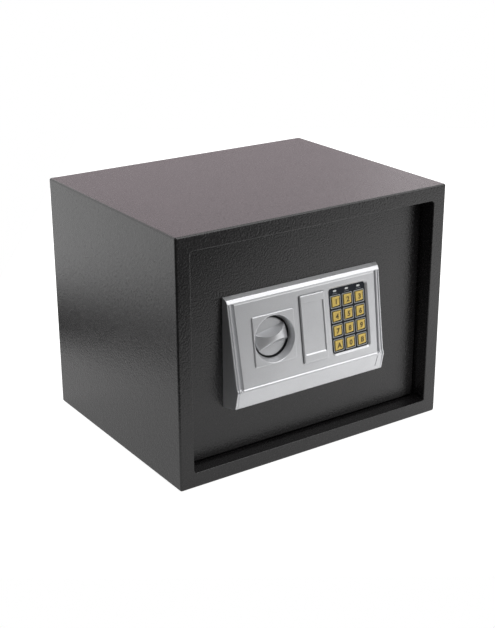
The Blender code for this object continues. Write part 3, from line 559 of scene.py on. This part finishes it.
def panel_outside():
    """The wedge's outer surface as one closed solid, with rails, groove, channel, plate and strip."""
    rows = []
    for place, outward, v in panel_stations():
        on_front = 1.0 - between(v, 103.2, 103.8)
        line = LINE_DEPTH * min(between(v, 101.8, 102.5), 1.0 - between(v, 102.8, 103.5))
        strip = 1.0 - between(v, 0.9, 7.0)
        shelf = 1.0 - between(v, 1.7, 3.4)
        lower_fade = 1.0 - between(-v, 0.5, 18.0)
        rail = on_front * (STRIP_RISE * strip * lower_fade - RAIL_DROP * (1 - strip))
        plate = on_front * STRIP_RISE * shelf * lower_fade
        groove = GROOVE_DEPTH * on_front * between(v, -0.9, 0.4)
        channel = CHANNEL_DEPTH * on_front * between(v, 1.6, 2.8)
        down = (FACE_LENGTH - min(max(v, 0.0), FACE_LENGTH)) / FACE_LENGTH
        edges = {sign: edge + taper * down for sign, (edge, taper) in PLATE_EDGES.items()}
        drafts = {-1: LEFT_DRAFT, 1: RIGHT_DRAFT}
        rounding = min((place.x - GAP - 0.6) / 5.0, 1.0)
        row = []
        for sign, side in ((-1, PANEL_LEFT), (1, PANEL_RIGHT)):
            half = []
            rim = side - sign * drafts[sign] * place.x
            foot = side - sign * drafts[sign] * GAP
            half.append((foot, Vector((GAP, place.y))))
            for share, kind, depth in RAIL:
                x = rim + (edges[sign] - rim) * share
                level = {"rail": rail - depth * rounding, "groove": rail - groove * depth,
                         "channel": rail - channel * depth,
                         "plate": plate - line - depth * on_front * (1 - shelf)}[kind]
                moved = place + outward * level
                moved.x = max(moved.x, GAP)
                half.append((x, moved))
            row.append(half)
        ring = [(x, DOOR_FRONT - p.x, p.y) for x, p in row[0]]
        ring += [(x, DOOR_FRONT - p.x, p.y) for x, p in row[1][::-1]]
        rows.append(ring)
    shape = bmesh.new()
    verts = [[shape.verts.new(point) for point in ring] for ring in rows]
    count = len(rows[0])
    for upper, lower in zip(verts, verts[1:]):
        for i in range(count):
            j = (i + 1) % count
            shape.faces.new((upper[i], upper[j], lower[j], lower[i]))
    shape.faces.new(verts[0])
    shape.faces.new(verts[-1][::-1])
    bmesh.ops.remove_doubles(shape, verts=shape.verts, dist=0.02)
    bmesh.ops.dissolve_degenerate(shape, edges=shape.edges, dist=0.02)
    return shape


def offset_inside(points, distances):
    """Moves each edge of the panel's profile inwards by its own distance."""
    lines = []
    for i, start in enumerate(points):
        start, end = Vector(start), Vector(points[(i + 1) % len(points)])
        along = (end - start).normalized()
        lines.append((start + Vector((along.y, -along.x)) * distances[i], along))
    moved = []
    for (p, a), (q, b) in zip([lines[-1]] + lines[:-1], lines):
        moved.append(p + a * ((q - p).cross(b) / a.cross(b)))
    return moved


def panel_inside():
    """The hollow of the wedge, open towards the door."""
    rings = []
    hollow = offset_inside(PANEL_PROFILE, [PANEL_WALL] * 5 + [-5.0])
    for side, draft in ((PANEL_LEFT, LEFT_DRAFT), (PANEL_RIGHT, -RIGHT_DRAFT)):
        rings.append([(side + draft * out + math.copysign(SIDE_WALL, draft), DOOR_FRONT - out, z)
                      for out, z in hollow])
    return loft(rings)


def dish():
    """Circles of the knob's dish: a deep gap round the knob, then a sloping wall with a rounded rim."""
    low = [(x + LIP_SHIFT[0], v + LIP_SHIFT[1]) for x, v in circle(DISH_LOW_R)]
    rows = [(low, DISH_FLOOR), (low, DISH_LIP), (circle(DISH_TOP_R - 0.3), KNOB_PLATE_RISE - DISH_RIM)]
    for step in range(1, 6):
        angle = math.pi / 2 * step / 5
        rows.append((circle(DISH_TOP_R - 0.3 + DISH_RIM * (1 - math.cos(angle))),
                     KNOB_PLATE_RISE - DISH_RIM + DISH_RIM * math.sin(angle)))
    rows.append((circle(DISH_TOP_R + DISH_RIM), KNOB_PLATE_RISE + 3.0))
    return rows


def panel():
    """The silver shell: hollow, with the knob's plate and dish, the cover's pocket and the keypad's well."""
    plate = rounded_edge(KNOB_PLATE_W, KNOB_PLATE_H, 3.0, -1.4, KNOB_PLATE_RISE, 1.4, 6)
    bowl = DISH_TOP_R + DISH_WALL
    bowl_rings = [(circle(bowl - 1.8), DISH_FLOOR - DISH_WALL), (circle(bowl), -6.0), (circle(bowl), -1.3)]
    hub_hole = circle(HUB_HOLE_R, 40)
    steps = [("DIFFERENCE", panel_inside()),
             ("UNION", on_face(plate, KNOB_PLATE)),
             ("UNION", on_face(bowl_rings, DISH)),
             ("DIFFERENCE", on_face(dish(), DISH)),
             ("DIFFERENCE", on_face([(hub_hole, DISH_FLOOR - 5), (hub_hole, DISH_FLOOR + 2)], KNOB))]

    seat = outline(COVER_W + 4.5, COVER_H + 4.5, 3.0)
    pocket_edge = [(outline(COVER_W + 1.6 + grow, COVER_H + 0.6 + grow, 2.0 + grow / 2), level)
                   for grow, level in ((0.0, -4.4), (0.0, -0.14), (0.10, -0.02), (0.25, 0.04), (0.4, 3.0))]
    steps.append(("UNION", on_face([(seat, -6.0), (seat, -1.25)], COVER)))
    steps.append(("DIFFERENCE", on_face(pocket_edge, COVER)))
    barrel = circle(LOCK_R + 0.8, 48)
    steps.append(("DIFFERENCE", upright([(barrel, DOOR_FRONT - 40), (barrel, DOOR_FRONT - 1)],
                                        (LOCK_X, LOCK_Z))))

    well = [(outline(WINDOW_W + grow, WINDOW_H + grow, 3.5 + grow / 2), level)
            for grow, level in ((0.0, -8.0), (0.0, -WELL_DEPTH), (3.4, -0.40), (4.0, -0.14), (5.0, 0.06),
                                (5.6, 2.0))]
    steps.append(("DIFFERENCE", on_face(well, WINDOW)))
    # a moulded line across the strip at its right end
    notch = [[(x - 0.45, v, level), (x + 0.45, v, level), (x + 0.45, v, 3.0), (x - 0.45, v, 3.0)]
             for x, v, level in ((87.2, -14.6, -5.9), (88.6, -0.6, 0.05))]
    mark = loft(notch)
    bmesh.ops.transform(mark, matrix=FACE, verts=mark.verts)
    steps.append(("DIFFERENCE", mark))
    shape = carved(panel_outside(), *steps)
    # painted shade: the gap round the knob gets the black moulding, standing in for the shadow deep inside it
    to_face = FACE.inverted()
    for face in shape.faces:
        x, v, level = to_face @ face.calc_center_median()
        in_gap = math.hypot(x - DISH[0] - LIP_SHIFT[0], v - DISH[1] - LIP_SHIFT[1]) < DISH_LOW_R + 0.1
        in_gap = in_gap and level > DISH_FLOOR - 0.1
        face.material_index = 1 if in_gap and level < DISH_LIP else 0
    piece("panel_shell", shape, [SILVER, BLACK_AND_SHADE], "door", ("fascia_housing",), 30.0)


def grip_half_width(x, sign):
    """Half the width of the grip's flat top, which flares towards its ends."""
    return min((GRIP_TOP if sign > 0 else GRIP_LOW) + GRIP_FLARE * x * x, GRIP_FOOT - 0.4)


def grip_height(x, v, sign):
    """Height over the knob's face of the arched grip that crosses it, at one point of the face."""
    arch_r = (GRIP_HALF_LENGTH ** 2 + GRIP_RISE ** 2) / (2 * GRIP_RISE)
    rise = max(math.sqrt(arch_r ** 2 - x ** 2) - (arch_r - GRIP_RISE), 0.0)
    top = grip_half_width(x, sign)
    run = min(max((v - top) / (GRIP_FOOT - top), 0.0), 1.0)
    crown = 0.10 * min(rise, 1.0) * math.cos(math.pi / 2 * min(v / top, 1.0))
    return rise * ((1 - run) ** 1.15 if sign > 0 else 1 - run ** 1.4) + crown


def knob():
    """A disc with a horizontal arched grip that flares into it and is cut off round with it."""
    runs = (0.0, 0.04, 0.09, 0.15, 0.22, 0.30, 0.39, 0.49, 0.60, 0.72, 0.86, 1.0)
    sections = []
    count = 72
    for i in range(count + 1):
        x = -KNOB_R * 0.9995 * math.cos(math.pi * i / count)
        edge = math.sqrt(KNOB_R ** 2 - x ** 2)
        rim = min(1.2, edge * 0.15)
        inner = edge - rim
        ring = []
        for sign in (1, -1):
            top = min(grip_half_width(x, sign), inner * 0.80)
            foot = min(GRIP_FOOT, inner * 0.97)
            across = [top * share for share in (0.0, 0.45, 0.8, 0.95)]
            across += [top + (foot - top) * run for run in runs]
            across += [foot + (inner - foot) * share for share in (0.06, 0.4, 1.0)]
            half = [(sign * v, KNOB_FACE + grip_height(x, v, sign)) for v in across]
            last = half[-1][1]
            for step in range(1, 5):
                angle = math.pi / 2 * step / 4
                half.append((sign * (inner + rim * math.sin(angle)), last - rim * (1 - math.cos(angle))))
            half.append((sign * edge, KNOB_BACK))
            ring += half[::-1] if sign == 1 else half[1:]
        sections.append([(x, v, level) for v, level in ring])
    shape = loft(sections)
    turned = FACE @ Matrix.Translation((KNOB[0], KNOB[1], 0.0)) @ Matrix.Rotation(GRIP_TURN, 4, "Z")
    bmesh.ops.transform(shape, matrix=turned, verts=shape.verts)
    hub = on_face([(circle(HUB_R, 32), HUB_END), (circle(HUB_R, 32), KNOB_BACK + 0.5)], KNOB)
    blade = outline(TANG_W, TANG_H, 0.4, 2)
    tang = on_face([(blade, TANG_END), (blade, HUB_END + 1.0)], KNOB)
    piece("turning_knob", carved(shape, ("UNION", hub), ("UNION", tang)), [SILVER], "knob", ("knob",),
          42.0)


def cover():
    """Raised cover over the override lock, with a sunk middle."""
    rows = rounded_edge(COVER_W, COVER_H, 1.8, -1.2, COVER_RISE, 1.3, 6)
    sunk_w, sunk_h, depth = COVER_W - 5.6, COVER_H - 18.8, 1.2
    steps_down = ((0.7, 0.7, 0.0, 1.2, 0.0), (0.24, 0.2, -0.08, 1.0, 0.05), (0.0, -0.4, -0.35, 0.9, 0.2),
                  (-0.2, -1.4, 0.15 - depth, 0.8, 0.55), (-0.6, -1.9, -depth, 0.7, 0.65))
    for grow_w, grow_h, level, radius, lift in steps_down:
        rows.append(([(x, v + lift) for x, v in outline(sunk_w + grow_w, sunk_h + grow_h, radius)],
                     COVER_RISE + level))
    shape = on_face(rows, COVER)
    steps = []
    for v in (-36.0, 36.0):
        clip = outline(14.0, 1.6, 0.5, 3)
        steps.append(("UNION", on_face([(clip, -3.9), (clip, -0.9)], (COVER[0], COVER[1] + v))))
    piece("lock_cover", carved(shape, *steps), [SILVER], "override_cover", ("override_cover",))


def key_centre(row, column):
    """Where a key sits on the face."""
    return (WINDOW[0] - 0.3 + (column - 1) * KEY_PITCH_X, KEY_ROW_V - row * KEY_PITCH_V)


def keypad():
    """Dark plate with a light surround and a square hole for each key, and three lamp slots with dashes."""
    base = on_face(rounded_edge(WINDOW_W - 0.5, WINDOW_H - 0.5, 3.3, -4.0, -WELL_DEPTH, 0.25), WINDOW)
    flange = outline(WINDOW_W + 4.0, WINDOW_H + 4.0, 4.0)
    steps = [("UNION", on_face([(flange, -4.3), (flange, -2.8)], WINDOW))]
    surrounds, marks = bmesh.new(), bmesh.new()
    for row, names in enumerate(KEY_NAMES):
        for column in range(len(names)):
            place = key_centre(row, column)
            hole = outline(KEY_HOLE, KEY_HOLE, 1.1, 4)
            steps.append(("DIFFERENCE", on_face([(hole, -8.0), (hole, 2.0)], place)))
            low = -WELL_DEPTH - 0.4
            ring = [(outline(size, size, radius, 4), low + rise)
                    for size, radius, rise in ((15.5, 1.5, 0.0), (15.5, 1.5, 0.75), (15.2, 1.4, 0.90),
                                               (13.7, 1.1, 0.90), (13.4, 1.0, 0.75), (13.4, 1.0, 0.0))]
            gather(surrounds, on_face(ring, place, closed=True))
    slot, mark = outline(LAMP_W, LAMP_H, 0.9, 4), outline(MARK_W, MARK_H, 0.3, 3)
    for column in range(3):
        x = key_centre(0, column)[0]
        steps.append(("DIFFERENCE", on_face([(slot, -8.0), (slot, 2.0)], (x, LAMP_V))))
        dash = [(mark, -WELL_DEPTH - 0.05), (mark, -WELL_DEPTH + 0.03)]
        gather(marks, on_face(dash, (x, LAMP_V - MARK_DROP)))
    piece("keypad_mask", carved(base, *steps), [MASK], "door", ("keypad_plate",))
    piece("key_surrounds", surrounds, [SURROUND], "door", ())
    piece("lamp_marks", marks, [MARK], "door", ())


def legend(text, place):
    """A slightly slanted figure printed on a key, as thin solid ink."""
    curve = bpy.data.curves.new("ink", "FONT")
    curve.body = text
    curve.size = LEGEND_SIZE
    curve.offset = 0.26
    curve.shear = 0.05
    curve.align_x, curve.align_y = "CENTER", "CENTER"
    curve.extrude = 0.03
    curve.resolution_u = 4
    made = bpy.data.objects.new("ink", curve)
    bpy.context.collection.objects.link(made)
    evaluated = made.evaluated_get(bpy.context.evaluated_depsgraph_get())
    mesh = bpy.data.meshes.new_from_object(evaluated)
    xs, ys = [v.co.x for v in mesh.vertices], [v.co.y for v in mesh.vertices]
    middle = Vector(((min(xs) + max(xs)) / 2, (min(ys) + max(ys)) / 2, 0.0))
    mesh.transform(Matrix.Translation(Vector((place[0], place[1], KEY_TOP)) - middle))
    mesh.transform(FACE)
    bpy.data.objects.remove(made, do_unlink=True)
    bpy.data.curves.remove(curve)
    return mesh


def keys():
    """Gold keys with a flange behind the plate, a slightly sunk top and their legends."""
    flange = outline(KEY_FLANGE, KEY_FLANGE, 1.2, 4)
    rows = [(flange, KEY_FOOT), (flange, KEY_FOOT + 0.8),
            (outline(KEY_SIZE, KEY_SIZE, 1.0, 4), KEY_FOOT + 0.8)]
    rows += rounded_edge(KEY_SIZE, KEY_SIZE, 1.0, KEY_FOOT + 1.0, KEY_TOP, 0.55)
    rows += [(outline(9.6, 9.6, 0.8, 4), KEY_TOP - 0.10), (outline(8.6, 8.6, 0.7, 4), KEY_TOP - 0.12)]
    for row, names in enumerate(KEY_NAMES):
        for column, name in enumerate(names):
            place = key_centre(row, column)
            shape = on_face(rows, place)
            before = len(shape.faces)
            ink = legend(name.upper(), place)
            shape.from_mesh(ink)
            bpy.data.meshes.remove(ink)
            shape.faces.ensure_lookup_table()
            for face in shape.faces[before:]:
                face.material_index = 1
            piece(f"keycap_{name}", shape, [GOLD, LEGEND], f"key_{name}", (f"key_{name}",), 40.0)


# ---------------------------------------------------------------- CAD nodes that stay in view

def dress(material, *names):
    """Gives CAD nodes a finish."""
    for name in names:
        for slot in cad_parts[name].material_slots:
            slot.link = "OBJECT"
            slot.material = material


def dress_nodes():
    """The nodes that keep their CAD shape, by finish."""
    dress(COAT, "back_panel", "upper_hinge_bracket", "lower_hinge_bracket", "upper_door_stop",
          "lower_door_stop", "upper_hinge_saddle", "lower_hinge_saddle", "rear_cover", "door_plate")
    dress(BLACK_AND_SHADE, "battery_holder", "battery_cover")
    dress(LAMP, "indicator_lens")
    dress(BOARD, "keypad_pcb", "control_board")
    dress(LEAD, "keypad_cable", "solenoid_leads", "battery_leads")
    dress(CHROME, "override_lock_barrel")
    dress(BRASS, "override_lock_plug")
    dress(ZINC, "lock_chassis", "bolt_bar", "solenoid_frame", "rear_cover_screw_1", "rear_cover_screw_2",
          *(f"fascia_screw_{i}" for i in range(1, 5)))
    dress(STEEL, "upper_bolt", "lower_bolt", "drive_spindle", "upper_hinge_pin", "lower_hinge_pin",
          "solenoid_plunger", "solenoid_spring")
    dress(TAPE, "solenoid_coil")
    dress(CELL, *(f"battery_{i}" for i in range(1, 5)))
    dress(RED, "reset_button")


# ---------------------------------------------------------------- studio

# The photograph's camera, found by fitting the box's corners: angles, then metres from the box's middle.
AZIMUTH, ELEVATION, ROLL = math.radians(-34.0908), math.radians(21.0813), math.radians(-0.2129)
VIEW_ACROSS, VIEW_UP, VIEW_BACK = 0.0015951, -0.0214157, 1.575471
SENSOR, VIEW_LENGTHS = 36.0, 1255.60 / 628.0


def along_view(right, away, height):
    """A point in metres, given from the safe's middle along and across the viewing direction."""
    return Vector((right * math.cos(AZIMUTH) - away * math.sin(AZIMUTH),
                   right * math.sin(AZIMUTH) + away * math.cos(AZIMUTH), height))


def soft_box(name, place, target, size, radiance, tint=(1.0, 1.0, 1.0)):
    """An even light that shows in reflections but not to the camera."""
    light = bpy.data.lights.new(name, "AREA")
    light.shape = "RECTANGLE"
    light.size, light.size_y = size
    light.energy = 4 * radiance * size[0] * size[1]
    light.color = tint
    made = bpy.data.objects.new(name, light)
    made.location = place
    made.rotation_mode = "QUATERNION"
    made.rotation_quaternion = (Vector(target) - Vector(place)).to_track_quat("-Z", "Y")
    made.visible_camera = False
    bpy.context.collection.objects.link(made)


def studio():
    """White surroundings for the camera, soft boxes for the object, and a pale floor."""
    bpy.context.scene.view_settings.view_transform = "Standard"
    world = bpy.data.worlds.new("studio")
    bpy.context.scene.world = world
    world.use_nodes = True
    nodes, links = world.node_tree.nodes, world.node_tree.links
    nodes.clear()
    seen, around, mix = (nodes.new("ShaderNodeBackground"), nodes.new("ShaderNodeBackground"),
                         nodes.new("ShaderNodeMixShader"))
    path, out = nodes.new("ShaderNodeLightPath"), nodes.new("ShaderNodeOutputWorld")
    for shader, strength in ((seen, 1.0), (around, 0.09)):
        shader.inputs["Color"].default_value = (1.0, 1.0, 1.0, 1.0)
        shader.inputs["Strength"].default_value = strength
    links.new(path.outputs["Is Camera Ray"], mix.inputs[0])
    links.new(around.outputs[0], mix.inputs[1])
    links.new(seen.outputs[0], mix.inputs[2])
    links.new(mix.outputs[0], out.inputs[0])

    soft_box("key", (0.80, -1.20, 0.98), (0.0, -0.14, 0.2), (0.9, 0.8), 2.0)
    soft_box("top_front", (0.15, -0.80, 1.40), (-0.06, -0.15, 0.16), (0.8, 0.6), 2.6)
    soft_box("overhead_right", (0.82, -0.15, 1.45), (0.0, -0.1, 0.15), (2.0, 1.5), 1.1)
    soft_box("front_right", (1.05, -1.05, 0.35), (0.1, -0.13, 0.30), (0.9, 0.8), 0.46)
    soft_box("top_back", along_view(0.1, 2.0, 1.1), (0.0, 0.0, 0.3), (2.4, 1.3), 0.76, (1.0, 0.86, 0.91))
    soft_box("right_back", (1.8, 1.2, 1.2), (0.0, 0.0, 0.3), (1.0, 1.4), 0.32)
    soft_box("left_back", along_view(-0.60, 0.40, 0.625), along_view(0.0, 0.40, 0.625), (1.9, 1.26), 1.0)

    corners = [along_view(right, away, cad_low.z - 0.0002)
               for right, away in ((-0.41, -0.40), (1.6, -0.40), (1.6, 1.6), (-0.41, 1.6))]
    floor = bmesh.new()
    floor.faces.new([floor.verts.new(corner) for corner in corners])
    bmesh.ops.subdivide_edges(floor, edges=floor.edges, cuts=12, use_grid_fill=True)
    mesh = bpy.data.meshes.new("floor")
    floor.to_mesh(mesh)
    floor.free()
    ground = bpy.data.objects.new("floor", mesh)
    bpy.context.collection.objects.link(ground)
    paper = Surface("studio_floor", 0.9)
    paper.shader.inputs["Emission Color"].default_value = (1.0, 1.0, 1.0, 1.0)
    across = paper.node("ShaderNodeSeparateXYZ", Vector=paper.place).outputs["X"]
    glow = paper.node("ShaderNodeMapRange", Value=across, From_Min=-0.35, From_Max=0.55, To_Min=0.40,
                      To_Max=0.95).outputs["Result"]
    seen = paper.node("ShaderNodeLightPath").outputs["Is Camera Ray"]
    paper.use(Base_Color=paper.ramp(paper.noise(400.0, 2.0), (0.3, 0.50), (0.7, 0.54)),
              Emission_Strength=paper.maths("MAXIMUM", glow, paper.maths("MULTIPLY", seen, 0.85)))
    mesh.materials.append(paper.material)


def camera():
    """The view of the photograph: far, slightly above, from the front left."""
    back = Vector((math.sin(AZIMUTH) * math.cos(ELEVATION), -math.cos(AZIMUTH) * math.cos(ELEVATION),
                   math.sin(ELEVATION)))
    right = Vector((0, 0, 1)).cross(back).normalized()
    up = back.cross(right)
    across = right * math.cos(ROLL) + up * math.sin(ROLL)
    upward = up * math.cos(ROLL) - right * math.sin(ROLL)
    place = Vector((0, 0, 0.150)) + VIEW_ACROSS * across + VIEW_UP * upward + VIEW_BACK * back
    view = bpy.data.cameras.new("camera")
    view.sensor_fit = "AUTO"
    view.sensor_width = SENSOR
    view.lens = SENSOR * VIEW_LENGTHS
    made = bpy.data.objects.new("camera", view)
    made.matrix_world = Matrix((
        (across.x, upward.x, back.x, place.x), (across.y, upward.y, back.y, place.y),
        (across.z, upward.z, back.z, place.z), (0, 0, 0, 1)))
    bpy.context.collection.objects.link(made)
    bpy.context.scene.camera = made


camera()
casing()
floor_cloth()
panel()
knob()
cover()
keypad()
keys()
dress_nodes()
studio()
